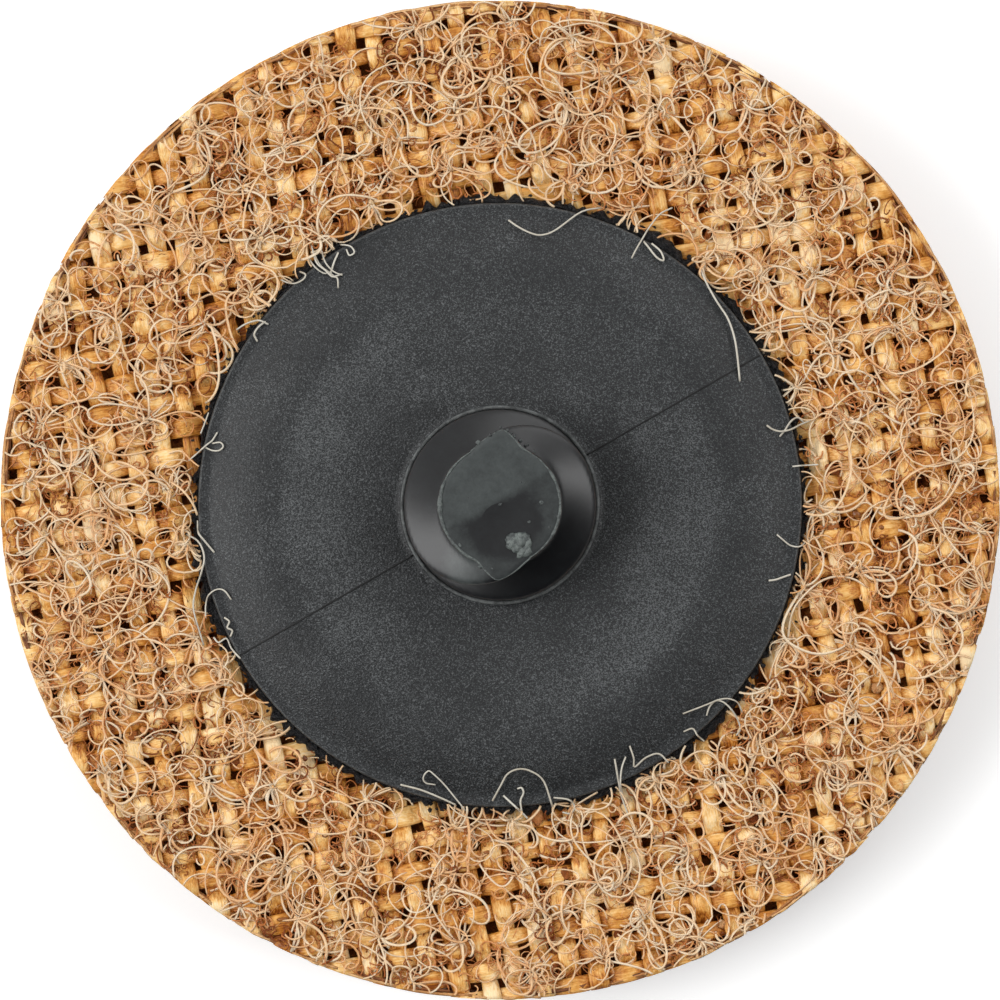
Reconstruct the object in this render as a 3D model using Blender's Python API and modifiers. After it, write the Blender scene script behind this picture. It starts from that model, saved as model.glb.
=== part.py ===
"""Surface conditioning disc with a quick-change button, 50 mm across.

A lofty non-woven web carries a plain-woven backing cloth. A moulded button with a
two-start threaded stud is melted onto the cloth. The disc lies on its abrasive face
with the stud up, and its axis is Z. All sizes are in metres.
"""

import math

import bmesh
import bpy
from mathutils import Matrix, Vector

# The whole disc
DISC_DIAMETER = 0.0500
ROUND_SEGMENTS = 96
JOIN_GAP = 0.00005  # clearance left between bonded faces

# Non-woven web
WEB_THICKNESS = 0.0052
WEB_EDGE_ROUNDING = 0.0005

# Backing cloth: a plain weave of flat yarns
CLOTH_WALL = 0.00040  # thickness in the dimples between yarns
YARN_RISE = 0.00042  # height of a yarn's float over the dimples
YARN_PITCH = 0.00140
FLOAT_WIDTH = 0.00066
FLOAT_LENGTH = 0.00118
WEAVE_ANGLE = math.radians(10.3)
MESH_HOLE_SIDE = 0.00044
OPEN_MESH_STEP = 11  # one mesh in this many is open, the rest are filled with resin
HOLE_EDGE_MARGIN = 0.0006  # cloth kept between an open mesh and the cut edge
SEAT_DEPTH = 0.00006  # how far the hot button sank into the wall

# Melted bond between cloth and button
BOND_THICKNESS = 0.00034
BOND_SQUEEZE = 0.00022  # least reach beyond the flange
BOND_RAGGED = 0.00052  # extra reach of the ragged lobes
BOND_POINTS = 132
SEAT_CLEARANCE = 0.0001

# Moulded button: flat plateau, rounded shoulder and thin brim
FLANGE_DIAMETER = 0.0302
BUTTON_OFF_CENTRE = 0.00025  # the button sits this far towards -Y of the disc's centre
PLATEAU_DIAMETER = 0.0224
BRIM_WIDTH = 0.0006
BRIM_THICKNESS = 0.00050
FLANGE_THICKNESS = 0.00125
BRIM_EDGE_RADIUS = 0.00012
SHOULDER_STEPS = 6
COLLAR_DIAMETER = 0.00996
COLLAR_HEIGHT = 0.00012
PARTING_WIDTH = 0.00012
PARTING_HEIGHT = 0.00005
PARTING_ANGLE = math.radians(30.0)

# Threaded stud
STUD_HEIGHT = 0.0056
THREAD_DIAMETER = 0.0095
ROOT_DIAMETER = 0.0060
THREAD_LEAD = 0.0060
THREAD_STARTS = 2
RIDGE_CREST = 0.00055  # height of a ridge's crest along the axis
FLANK_SLOPE = 0.40  # how much each flank falls for each step outwards
TIP_ANGLE = math.radians(87.5)  # where the first ridge dips below the stud's tip
RIDGE_START = math.radians(31.0)  # past that point the ridge rises from the root
RIDGE_GROWTH = math.radians(96.0)  # and it takes this turn to reach full height
RIDGE_EMBED = 0.0003  # how far the ridges run into the root post
STUD_SEGMENTS = 48

DISC_RADIUS = DISC_DIAMETER / 2
FLANGE_RADIUS = FLANGE_DIAMETER / 2
BOND_REACH = FLANGE_RADIUS + BOND_SQUEEZE + BOND_RAGGED
SEAT_RADIUS = BOND_REACH + SEAT_CLEARANCE

# Heights of the layers, from the abrasive face up
CLOTH_BOTTOM = WEB_THICKNESS + JOIN_GAP
DIMPLE_TOP = CLOTH_BOTTOM + CLOTH_WALL
SEAT_TOP = DIMPLE_TOP - SEAT_DEPTH
BOND_BOTTOM = SEAT_TOP + JOIN_GAP
FLANGE_BOTTOM = BOND_BOTTOM + BOND_THICKNESS + JOIN_GAP
PLATEAU_TOP = FLANGE_BOTTOM + FLANGE_THICKNESS
STUD_TOP = PLATEAU_TOP + STUD_HEIGHT

# Modelling allowances
MERGE_DISTANCE = 0.000005
SHARP_ANGLE = math.radians(32.0)  # edges sharper than this stay sharp when shaded
OVERSHOOT = 0.001  # how far a cutter runs past what it cuts


def clear_scene():
    """Starts from an empty scene."""
    for old in list(bpy.data.objects):
        bpy.data.objects.remove(old, do_unlink=True)


def make_collection(name):
    """A collection of that name in the scene."""
    collection = bpy.data.collections.new(name)
    bpy.context.scene.collection.children.link(collection)
    return collection


def make_material(name, colour, roughness):
    """A Principled material that is not metal."""
    material = bpy.data.materials.new(name)
    material.use_nodes = True
    shader = material.node_tree.nodes["Principled BSDF"]
    shader.inputs["Base Color"].default_value = (*colour, 1.0)
    shader.inputs["Roughness"].default_value = roughness
    shader.inputs["Metallic"].default_value = 0.0
    return material


def object_from_bmesh(name, bm, collection, material=None):
    """Writes a bmesh to a new object with outward normals."""
    bmesh.ops.recalc_face_normals(bm, faces=bm.faces)
    mesh = bpy.data.meshes.new(name)
    bm.to_mesh(mesh)
    bm.free()
    made = bpy.data.objects.new(name, mesh)
    collection.objects.link(made)
    if material:
        mesh.materials.append(material)
    return made


def as_cutter(made):
    """Marks an object as a tool that shapes others."""
    made.hide_render = True
    made.display_type = "WIRE"
    return made


def add_boolean(target, tool, operation):
    """Cuts or joins target with tool."""
    modifier = target.modifiers.new(f"{operation.lower()}_{tool.name}", "BOOLEAN")
    modifier.object = tool
    modifier.operation = operation
    modifier.solver = "EXACT"


def turned(name, profile, collection, material=None):
    """A solid of revolution about Z from (radius, height) points, top to bottom."""
    bm = bmesh.new()
    points = [bm.verts.new((radius, 0.0, height)) for radius, height in profile]
    for upper, lower in zip(points, points[1:]):
        bm.edges.new((upper, lower))
    mesh = bpy.data.meshes.new(name)
    bm.to_mesh(mesh)
    bm.free()
    made = bpy.data.objects.new(name, mesh)
    collection.objects.link(made)
    if material:
        mesh.materials.append(material)
    screw = made.modifiers.new("turn", "SCREW")
    screw.axis = "Z"
    screw.steps = ROUND_SEGMENTS
    screw.render_steps = ROUND_SEGMENTS
    screw.use_merge_vertices = True
    screw.merge_threshold = MERGE_DISTANCE
    return made


def rounded_corner(centre, radius, start, end, steps):
    """Points of an arc in the profile plane, angles in degrees from +X."""
    arc = []
    for step in range(steps + 1):
        angle = math.radians(start + (end - start) * step / steps)
        arc.append((
            centre[0] + radius * math.cos(angle),
            centre[1] + radius * math.sin(angle),
        ))
    return arc


def build_web(parts, material):
    """The non-woven pad, with its cut edge rounded on the abrasive side."""
    corner = rounded_corner(
        (DISC_RADIUS - WEB_EDGE_ROUNDING, WEB_EDGE_ROUNDING),
        WEB_EDGE_ROUNDING, 0, -90, 2)
    profile = [(0.0, WEB_THICKNESS), (DISC_RADIUS, WEB_THICKNESS)]
    profile += corner
    profile.append((0.0, 0.0))
    return turned("abrasive_web", profile, parts, material)


def cell_count():
    """Weave cells along one side of the square that covers the disc."""
    half = math.ceil(DISC_RADIUS / YARN_PITCH) + 1
    return 2 * half


def cell_of(point):
    """Column and row of the weave cell that holds a point."""
    half = cell_count() // 2
    return (
        math.floor(point.x / YARN_PITCH) + half,
        math.floor(point.y / YARN_PITCH) + half,
    )


def raise_float(face, column, row):
    """Turns an inset face into the flat float of the yarn that lies on top."""
    lengthwise = (column + row) % 2 == 0
    half_x = (FLOAT_WIDTH if lengthwise else FLOAT_LENGTH) / 2
    half_y = (FLOAT_LENGTH if lengthwise else FLOAT_WIDTH) / 2
    centre = face.calc_center_median()
    for corner in face.verts:
        corner.co.x = centre.x + math.copysign(half_x, corner.co.x - centre.x)
        corner.co.y = centre.y + math.copysign(half_y, corner.co.y - centre.y)
        corner.co.z = DIMPLE_TOP + YARN_RISE


def woven_slab(parts, material):
    """The cloth before trimming: a slab with one raised float in each weave cell."""
    cells = cell_count()
    bm = bmesh.new()
    bmesh.ops.create_grid(
        bm, x_segments=cells, y_segments=cells, size=cells * YARN_PITCH / 2,
        matrix=Matrix.Translation((0, 0, DIMPLE_TOP)))
    faces = [(face, face.calc_center_median()) for face in bm.faces]
    outside = [f for f, c in faces if c.xy.length > DISC_RADIUS + YARN_PITCH]
    inner = SEAT_RADIUS - BUTTON_OFF_CENTRE - YARN_PITCH
    under_button = [f for f, c in faces if c.xy.length < inner]
    bmesh.ops.delete(bm, geom=outside, context="FACES")
    bmesh.ops.dissolve_faces(bm, faces=under_button, use_verts=True)
    woven = [f for f in bm.faces if len(f.verts) == 4]
    cells_by_face = [(f, *cell_of(f.calc_center_median())) for f in woven]
    bmesh.ops.inset_individual(bm, faces=woven, thickness=YARN_PITCH / 8)
    for face, column, row in cells_by_face:
        raise_float(face, column, row)
    rim = [edge for edge in bm.edges if edge.is_boundary]
    walls = bmesh.ops.extrude_edge_only(bm, edges=rim)["geom"]
    for item in walls:
        if isinstance(item, bmesh.types.BMVert):
            item.co.z = CLOTH_BOTTOM
    bmesh.ops.edgeloop_fill(bm, edges=[e for e in bm.edges if e.is_boundary])
    return object_from_bmesh("scrim_backing", bm, parts, material)


def cylinder_cutter(name, radius, bottom, top, cutters, segments=ROUND_SEGMENTS):
    """A round cutter between two heights."""
    bm = bmesh.new()
    bmesh.ops.create_cone(
        bm, cap_ends=True, segments=segments, radius1=radius, radius2=radius,
        depth=top - bottom, matrix=Matrix.Translation((0, 0, (top + bottom) / 2)))
    return as_cutter(object_from_bmesh(name, bm, cutters))


def mesh_hole_places():
    """Meshes between the yarns that stay open, as points in the cloth's own frame."""
    half = cell_count() // 2
    inner = SEAT_RADIUS + BUTTON_OFF_CENTRE + MESH_HOLE_SIDE
    outer = DISC_RADIUS - MESH_HOLE_SIDE - HOLE_EDGE_MARGIN
    places = []
    for column in range(-half, half + 1):
        for row in range(-half, half + 1):
            place = Vector((column * YARN_PITCH, row * YARN_PITCH, 0.0))
            if (column + 2 * row) % OPEN_MESH_STEP == 0 and inner < place.length < outer:
                places.append(place)
    return places


def hole_cutter(cutters):
    """One square pin for each open mesh of the cloth."""
    bm = bmesh.new()
    low = CLOTH_BOTTOM - OVERSHOOT
    high = DIMPLE_TOP + YARN_RISE + OVERSHOOT
    shape = Matrix.Diagonal((MESH_HOLE_SIDE, MESH_HOLE_SIDE, high - low, 1.0))
    for place in mesh_hole_places():
        middle = Matrix.Translation((place.x, place.y, (low + high) / 2))
        bmesh.ops.create_cube(bm, size=1.0, matrix=middle @ shape)
    return as_cutter(object_from_bmesh("mesh_hole_pins", bm, cutters))


def build_cloth(parts, cutters, material):
    """The backing cloth, cut round with the disc and seated for the button."""
    cloth = woven_slab(parts, material)
    pins = hole_cutter(cutters)
    for made in (cloth, pins):
        made.rotation_euler.z = WEAVE_ANGLE
    trim = cylinder_cutter(
        "die_cut", DISC_RADIUS, CLOTH_BOTTOM - OVERSHOOT,
        DIMPLE_TOP + YARN_RISE + OVERSHOOT, cutters)
    seat = cylinder_cutter(
        "button_seat", SEAT_RADIUS, SEAT_TOP, DIMPLE_TOP + YARN_RISE + OVERSHOOT, cutters)
    seat.location.y = -BUTTON_OFF_CENTRE
    add_boolean(cloth, trim, "INTERSECT")
    add_boolean(cloth, seat, "DIFFERENCE")
    add_boolean(cloth, pins, "DIFFERENCE")
    return cloth


def ragged(angle):
    """How far the squeezed-out melt reaches at an angle, from 0 to 1."""
    waves = (
        0.34 * math.sin(3 * angle + 0.9)
        + 0.30 * math.sin(8 * angle + 2.1)
        + 0.24 * math.sin(17 * angle + 4.0)
        + 0.22 * math.sin(29 * angle + 1.3)
    )
    return min(1.0, max(0.0, 0.5 + 0.5 * waves))


def build_bond(parts, material):
    """The melted bond, a thin flat layer with a ragged edge beyond the flange."""
    outline = bpy.data.curves.new("weld_bead", "CURVE")
    outline.dimensions = "2D"
    outline.fill_mode = "BOTH"
    outline.extrude = BOND_THICKNESS / 2
    spline = outline.splines.new("POLY")
    spline.points.add(BOND_POINTS - 1)
    spline.use_cyclic_u = True
    for index, point in enumerate(spline.points):
        angle = 2 * math.pi * index / BOND_POINTS
        reach = FLANGE_RADIUS + BOND_SQUEEZE + BOND_RAGGED * ragged(angle)
        point.co = (reach * math.cos(angle), reach * math.sin(angle), 0.0, 1.0)
    bond = bpy.data.objects.new("weld_bead", outline)
    bond.location = (0.0, -BUTTON_OFF_CENTRE, BOND_BOTTOM + BOND_THICKNESS / 2)
    parts.objects.link(bond)
    outline.materials.append(material)
    return bond


def flange_profile():
    """Radius and height from the top centre of the button down to its flat underside."""
    collar = COLLAR_DIAMETER / 2
    plateau = PLATEAU_DIAMETER / 2
    brim_inner = FLANGE_RADIUS - BRIM_WIDTH
    brim_top = FLANGE_BOTTOM + BRIM_THICKNESS
    profile = [
        (0.0, PLATEAU_TOP + COLLAR_HEIGHT),
        (collar, PLATEAU_TOP + COLLAR_HEIGHT),
        (collar, PLATEAU_TOP),
    ]
    for step in range(SHOULDER_STEPS + 1):
        share = step / SHOULDER_STEPS
        profile.append((
            plateau + (brim_inner - plateau) * share,
            PLATEAU_TOP + (brim_top - PLATEAU_TOP) * share * share,
        ))
    profile += rounded_corner(
        (FLANGE_RADIUS - BRIM_EDGE_RADIUS, brim_top - BRIM_EDGE_RADIUS),
        BRIM_EDGE_RADIUS, 90, 0, 3)
    profile += [(FLANGE_RADIUS, FLANGE_BOTTOM), (0.0, FLANGE_BOTTOM)]
    return profile


def ridge_reach(past_tip):
    """Outer radius of a ridge, by its angle past the place where it dips below the tip."""
    root = ROOT_DIAMETER / 2
    crest = THREAD_DIAMETER / 2
    share = min(1.0, max(0.0, (RIDGE_START - past_tip) / RIDGE_GROWTH))
    return root + (crest - root) * math.sin(math.pi / 2 * share ** 1.1)


def half_height(radius):
    """Half of a ridge's height along the axis at a radius."""
    return RIDGE_CREST / 2 + FLANK_SLOPE * (THREAD_DIAMETER / 2 - radius)


def thread_ridge(index, cutters):
    """One start of the thread: a tapered ridge that follows a right-hand helix."""
    inside = ROOT_DIAMETER / 2 - RIDGE_EMBED
    tip_half = half_height(ridge_reach(0.0))
    lowest = PLATEAU_TOP - half_height(ROOT_DIAMETER / 2)
    drop = STUD_TOP - tip_half - lowest
    sweep = 2 * math.pi * drop / THREAD_LEAD + RIDGE_START
    step_angle = 2 * math.pi / STUD_SEGMENTS
    bm = bmesh.new()
    rings = []
    for step in range(math.ceil(sweep / step_angle) + 1):
        past_tip = RIDGE_START - step_angle * step
        reach = ridge_reach(past_tip) - MERGE_DISTANCE * (step == 0)
        middle = STUD_TOP - tip_half + THREAD_LEAD * past_tip / (2 * math.pi)
        section = [
            (inside, half_height(inside)), (reach, half_height(reach)),
            (reach, -half_height(reach)), (inside, -half_height(inside)),
        ]
        angle = TIP_ANGLE + 2 * math.pi * index / THREAD_STARTS + past_tip
        turn = Matrix.Rotation(angle, 4, "Z")
        rings.append([
            bm.verts.new(turn @ Vector((radius, 0.0, middle + height)))
            for radius, height in section
        ])
    for one, other in zip(rings, rings[1:]):
        for side in range(4):
            after = (side + 1) % 4
            bm.faces.new((one[side], one[after], other[after], other[side]))
    bm.faces.new(rings[0])
    bm.faces.new(rings[-1])
    return as_cutter(object_from_bmesh(f"thread_ridge_{index + 1}", bm, cutters))


def build_stud(cutters):
    """The stud: a root post with its thread ridges, cut to a flat tip."""
    base = FLANGE_BOTTOM + BRIM_THICKNESS / 2
    post = cylinder_cutter(
        "stud", ROOT_DIAMETER / 2, base - OVERSHOOT, STUD_TOP + OVERSHOOT, cutters,
        STUD_SEGMENTS)
    envelope = cylinder_cutter(
        "stud_envelope", THREAD_DIAMETER / 2 + OVERSHOOT, base, STUD_TOP, cutters,
        STUD_SEGMENTS)
    for index in range(THREAD_STARTS):
        add_boolean(post, thread_ridge(index, cutters), "UNION")
    add_boolean(post, envelope, "INTERSECT")
    return post


def stud_tools(stud):
    """The stud and the tools that shape it."""
    return [stud, *(modifier.object for modifier in stud.modifiers)]


def parting_line(cutters):
    """The fine witness ridge that the split mould leaves across the plateau."""
    bm = bmesh.new()
    inner = COLLAR_DIAMETER / 2 - PARTING_WIDTH
    outer = PLATEAU_DIAMETER / 2
    low = PLATEAU_TOP - PARTING_HEIGHT
    high = PLATEAU_TOP + PARTING_HEIGHT
    shape = Matrix.Diagonal((outer - inner, PARTING_WIDTH, high - low, 1.0))
    for side in (0.0, math.pi):
        place = Matrix.Translation(((inner + outer) / 2, 0, (low + high) / 2))
        turn = Matrix.Rotation(PARTING_ANGLE + side, 4, "Z")
        bmesh.ops.create_cube(bm, size=1.0, matrix=turn @ place @ shape)
    return as_cutter(object_from_bmesh("parting_line", bm, cutters))


def build_button(parts, cutters, material):
    """The moulded button: flange, collar, parting line and threaded stud in one."""
    button = turned("fastener_button", flange_profile(), parts, material)
    stud = build_stud(cutters)
    line = parting_line(cutters)
    add_boolean(button, stud, "UNION")
    add_boolean(button, line, "UNION")
    for made in [button, *stud_tools(stud), line]:
        made.location.y -= BUTTON_OFF_CENTRE
    return button


def settle(made):
    """Fixes the modifiers' result as the object's mesh, smooth but for its sharp edges."""
    graph = bpy.context.evaluated_depsgraph_get()
    solid = bpy.data.meshes.new_from_object(made.evaluated_get(graph))
    solid.name = made.name
    made.modifiers.clear()
    made.data = solid
    solid.shade_smooth()
    solid.set_sharp_from_angle(angle=SHARP_ANGLE)


def main():
    clear_scene()
    parts = make_collection("surface_conditioning_disc")
    cutters = make_collection("cutters")
    web_fibre = make_material("web_fibre", (0.36, 0.19, 0.085), 0.95)
    cloth_yarn = make_material("cloth_yarn", (0.60, 0.36, 0.14), 0.85)
    melt = make_material("melted_plastic", (0.012, 0.012, 0.014), 0.7)
    moulding = make_material("moulded_plastic", (0.055, 0.06, 0.062), 0.55)
    web = build_web(parts, web_fibre)
    cloth = build_cloth(parts, cutters, cloth_yarn)
    build_bond(parts, melt)
    button = build_button(parts, cutters, moulding)
    for made in (web, cloth, button):
        settle(made)


main()
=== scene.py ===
"""Looks of a surface conditioning disc, seen from straight above with its stud up.

The woven backing, the fibres needled through it, the melted bond, the moulded button and
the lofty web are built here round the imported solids. All sizes are in metres.
"""

import math

import bmesh
import bpy
import numpy as np
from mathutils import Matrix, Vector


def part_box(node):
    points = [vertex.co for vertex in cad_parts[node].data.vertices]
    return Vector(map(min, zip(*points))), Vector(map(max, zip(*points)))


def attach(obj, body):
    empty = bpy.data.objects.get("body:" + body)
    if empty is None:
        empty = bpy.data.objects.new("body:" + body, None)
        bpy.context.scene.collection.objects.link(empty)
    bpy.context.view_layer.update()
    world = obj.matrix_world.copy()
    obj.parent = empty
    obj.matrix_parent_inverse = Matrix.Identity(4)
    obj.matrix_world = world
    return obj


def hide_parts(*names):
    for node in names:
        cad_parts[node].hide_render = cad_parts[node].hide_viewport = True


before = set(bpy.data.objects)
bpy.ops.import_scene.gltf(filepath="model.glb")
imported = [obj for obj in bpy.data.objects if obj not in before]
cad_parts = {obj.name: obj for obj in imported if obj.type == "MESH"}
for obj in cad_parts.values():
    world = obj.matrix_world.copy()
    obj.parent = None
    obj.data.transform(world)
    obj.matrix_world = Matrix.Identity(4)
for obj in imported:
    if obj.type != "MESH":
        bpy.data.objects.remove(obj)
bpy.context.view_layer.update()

MM = 0.001
TURN = 2 * math.pi

# Weave
YARN_PITCH = 1.40 * MM
WEAVE_ANGLE = math.radians(10.3)
YARN_WIDTH = 0.93 * MM
YARN_THICKNESS = 0.36 * MM
YARN_WANDER = 0.065 * MM
YARN_STEP = 0.26 * MM
SECTION_POINTS = 12

# Button, as its solid is built
COLLAR_RADIUS = 4.98 * MM
COLLAR_HEIGHT = 0.12 * MM
LIP_WIDTH = 0.20 * MM
PLATEAU_RADIUS = 11.2 * MM
BRIM_WIDTH = 0.60 * MM
BRIM_THICKNESS = 0.50 * MM
BRIM_ROUNDING = 0.12 * MM
FLANGE_THICKNESS = 1.25 * MM
PARTING_ANGLE = math.radians(30.0)
BUTTON_SEGMENTS = 288

# Threaded stud
THREAD_RADIUS = 4.75 * MM
ROOT_RADIUS = 3.00 * MM
THREAD_LEAD = 6.0 * MM
RIDGE_CREST = 0.55 * MM
FLANK_SLOPE = 0.40
TIP_ANGLE = math.radians(87.5)
RIDGE_START = math.radians(31.0)
RIDGE_GROWTH = math.radians(96.0)
STUD_ROWS = 62
TIP_SHARES = (0.04, 0.14, 0.24, 0.34, 0.44, 0.54, 0.64, 0.74, 0.84, 0.93, 1.0)
TIP_EASE = 0.06 * MM
TIP_SINK = 0.05 * MM  # how far the tip's thick middle sank as it cooled
SINK_CENTRE = (0.15 * MM, -1.0 * MM)
SINK_RADIUS = 2.0 * MM

# Grain of the button, the painted sheen on its flange, and the side of the parting line where
# its tip is paler
GRAIN_SIZE = 0.042 * MM
SHEEN_RING = (5.6 * MM, 8.2 * MM, 10.2 * MM, 11.8 * MM)  # the ring where a painted sheen of reflected light brightens the flange
# the way along which the painted sheen is brightest, on both sides
SHEEN_WAY = (math.cos(math.radians(-8)), math.sin(math.radians(-8)), 0.0)
PAST_PARTING = (-math.sin(PARTING_ANGLE), math.cos(PARTING_ANGLE), 0.0)

# Melted bond
CRUST_SEGMENTS = 720
CRUST_TUCK = 0.4 * MM  # how far it runs in under the flange
CRUST_DEPTH = 0.40 * MM
CRUMBS = 420

# Needled fibre: how many places there are, and how far apart they lie at least
KNOTS, KNOT_SPACING = 190, 2.7 * MM
LOOSE_CURLS, CURL_SPACING = 950, 0.45 * MM
RUST_PATCHES, PATCH_SPACING = 290, 0.95 * MM
RUST_MATS, MAT_SPACING = 160, 0.75 * MM
FUZZ_TUFTS, TUFT_SPACING = 110, 1.25 * MM
FALLEN_DROPS, DROP_SPACING = 120, 1.2 * MM
STRANDS_PER_KNOT = 11
SPRAY_PER_KNOT = 7
CURLS_PER_PATCH = 9
FUZZ_PER_TUFT = 12
FIBRE_RADIUS = 0.065 * MM
CURL_RADIUS = 0.042 * MM
FUZZ_RADIUS = 0.019 * MM
STRAY_POINTS = 26
TRIES_PER_PLACE = 40
SHORTEST_RUN = 6  # steps of a cut strand that is still kept

# Web
FACE_FIBRES = 1000
EDGE_FIBRES = 2050
WEB_SEGMENTS = 260
WEB_INSET = 0.03 * MM
FACE_LEVEL = 0.38 * MM  # of the pad behind the abrasive face's fibres

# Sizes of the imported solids
WEB_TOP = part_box("abrasive_web")[1].z
DISC_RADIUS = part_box("abrasive_web")[1].x
CLOTH_BOTTOM, CLOTH_TOP = (corner.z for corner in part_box("scrim_backing"))
CLOTH_MIDDLE = (CLOTH_BOTTOM + CLOTH_TOP) / 2
WAVE = (CLOTH_TOP - CLOTH_BOTTOM - YARN_THICKNESS) / 2
BUTTON_LOW, BUTTON_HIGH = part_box("fastener_button")
FLANGE_RADIUS = (BUTTON_HIGH.x - BUTTON_LOW.x) / 2
BUTTON_Y = (BUTTON_HIGH.y + BUTTON_LOW.y) / 2
BUTTON_AXIS = (0.0, BUTTON_Y)
FLANGE_BOTTOM, STUD_TOP = BUTTON_LOW.z, BUTTON_HIGH.z
PLATEAU_TOP = FLANGE_BOTTOM + FLANGE_THICKNESS
STUD_BASE = PLATEAU_TOP + COLLAR_HEIGHT
BRIM_TOP = FLANGE_BOTTOM + BRIM_THICKNESS
BRIM_INNER = FLANGE_RADIUS - BRIM_WIDTH
BEAD_LOW, BEAD_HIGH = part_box("weld_bead")
BEAD_REACH = (BEAD_HIGH.x - BEAD_LOW.x) / 2 + 0.1 * MM
PRESSED_SHARE = (BEAD_LOW.z - CLOTH_BOTTOM) / (CLOTH_TOP - CLOTH_BOTTOM)

# Rings that fibre starts in, and wider ones that its strands are cut to
PALE_STARTS = (BEAD_REACH, DISC_RADIUS - 0.4 * MM)
RUST_STARTS = (BEAD_REACH - 0.2 * MM, DISC_RADIUS - 0.4 * MM)
LUMP_STARTS = (BEAD_REACH, DISC_RADIUS - 0.5 * MM)
PALE_RING = (BEAD_REACH - 0.6 * MM, DISC_RADIUS - 0.06 * MM)
RUST_RING = (BEAD_REACH - 0.3 * MM, DISC_RADIUS - 0.05 * MM)

# The photograph: its pixels' size on the disc, and the disc's centre in it
PHOTO_PIXEL = 0.05 * MM
PHOTO_CENTRE = (499.5, 499.5)

# Fibres over the button's rim, as pixels of the photograph, clockwise from the top
STRAY_FIBRES = [
    [(508, 220), (518, 227), (530, 233), (541, 235), (555, 230), (580, 212), (600, 207)],
    [(631, 258), (635, 250), (642, 238), (650, 225), (660, 213), (672, 207)],
    [(643, 241), (648, 247), (656, 257), (663, 260), (660, 251), (651, 243)],
    [(700, 268), (706, 283), (716, 301), (727, 318), (733, 335), (736, 352), (739, 381)],
    [(766, 425), (772, 429), (780, 431), (790, 429), (800, 424), (812, 419)],
    [(779, 436), (784, 430), (790, 421), (797, 417), (803, 421)],
    [(792, 466), (802, 465), (818, 464)],
    [(776, 534), (783, 540), (790, 545), (799, 546), (806, 541)],
    [(768, 580), (775, 579), (781, 577), (790, 574)],
    [(682, 713), (695, 708), (708, 703), (718, 699), (728, 698), (737, 702), (742, 712)],
    [(706, 715), (709, 706), (716, 700), (725, 703), (735, 715), (740, 728), (736, 735)],
    [(683, 731), (692, 728), (697, 735), (704, 741)],
    [(614, 758), (617, 775), (621, 795), (628, 815)],
    [(625, 756), (621, 768), (620, 785), (624, 800)],
    [(629, 745), (633, 757), (634, 766), (645, 757), (658, 753), (668, 762)],
    [(553, 797), (568, 799), (574, 806), (570, 813), (562, 812)],
    [(492, 800), (500, 785), (507, 773), (518, 768), (530, 770), (543, 780), (552, 806)],
    [(503, 795), (515, 806), (527, 818)],
    [(517, 788), (521, 787), (523, 792), (520, 800), (521, 810)],
    [(435, 784), (425, 782), (423, 776), (428, 770), (434, 774), (445, 785), (465, 810)],
    [(400, 784), (420, 789), (440, 797), (455, 804)],
    [(213, 637), (218, 642), (226, 638), (231, 648), (240, 658)],
    [(224, 617), (229, 621), (227, 627), (232, 630), (230, 636)],
    [(205, 618), (205, 605), (208, 595), (216, 589), (224, 590), (231, 599)],
    [(186, 534), (198, 541), (204, 556), (201, 572), (195, 590), (193, 610), (203, 645)],
    [(197, 520), (198, 532), (204, 540), (214, 552)],
    [(205, 447), (212, 450), (219, 450), (223, 446), (220, 442), (212, 443)],
    [(188, 460), (200, 450), (207, 444), (212, 440), (217, 432)],
    [(208, 412), (204, 423), (200, 433)],
    [(311, 245), (316, 262), (325, 270), (331, 276), (337, 278), (338, 288)],
    [(338, 252), (333, 264), (331, 276), (342, 274)],
    [(340, 244), (350, 246), (354, 252), (349, 255), (346, 249)],
    [(313, 252), (319, 264), (327, 271), (335, 277)],
    [(321, 250), (325, 262), (333, 271), (342, 275)],
    [(307, 256), (315, 267), (324, 273), (330, 271)],
    [(280, 279), (287, 282), (295, 283), (303, 279), (305, 274), (299, 271)],
    [(236, 329), (246, 323), (258, 320), (268, 324)],
    [(265, 321), (258, 327), (254, 334), (257, 341)],
]

# Marks on the stud, in pixels of the photograph
GATE_PIXEL = (519.5, 543.5)
GATE_WIDTH = 1.30 * MM
GATE_LUMPS = 24
PALE_FLANK_PIXEL = (466.0, 566.0)
TIP_SCUFFS = [
    (528, 521), (499.7, 503.9), (524, 483), (520, 482), (460, 544), (468, 497), (540, 502),
    (548, 526), (556, 515), (478, 443), (490, 436), (500, 428), (507, 431), (514, 437),
    (520, 441), (526, 445), (533, 452), (495, 432), (511, 434), (480, 565), (492, 567)]

# Camera and lamps
SENSOR_WIDTH = 36.0
CAMERA_LENS = 250.0
FRAME_WIDTH = 50.05 * MM  # what the picture spans at the cloth's level
LAMP_DISTANCE = 0.6
LAMPS = [  # name, azimuth and zenith in degrees, width, power
    ("left", 184, 46, 0.40, 2.45), ("right", 350, 46, 0.15, 0.9), ("upper", 44, 58, 0.40, 0.9)]
DARK_SIDE = (0.5, -0.866, 0.0)  # where the surround fades out
FLOOR_HALF = 1.5


def smooth_step(value):
    """0 below 0, 1 above 1, and an S-curve between."""
    value = np.clip(value, 0.0, 1.0)
    return value * value * (3.0 - 2.0 * value)


def soft_max(a, b, blend):
    """The larger of two fields, with their meeting rounded over a length."""
    share = np.clip(0.5 + 0.5 * (a - b) / blend, 0.0, 1.0)
    return b + (a - b) * share + blend * share * (1.0 - share)


def soft_min(a, b, blend):
    """The smaller of two fields, with their meeting rounded over a length."""
    return -soft_max(-a, -b, blend)


def waves(angle, rng, harmonics, falloff):
    """A repeatable closed wave round a circle, about -1 to 1."""
    total = np.zeros_like(angle)
    for count in harmonics:
        total = total + rng.normal() * count ** -falloff * np.sin(
            count * angle + rng.uniform(0, TURN))
    return total / max(1e-9, np.abs(total).max())


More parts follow.
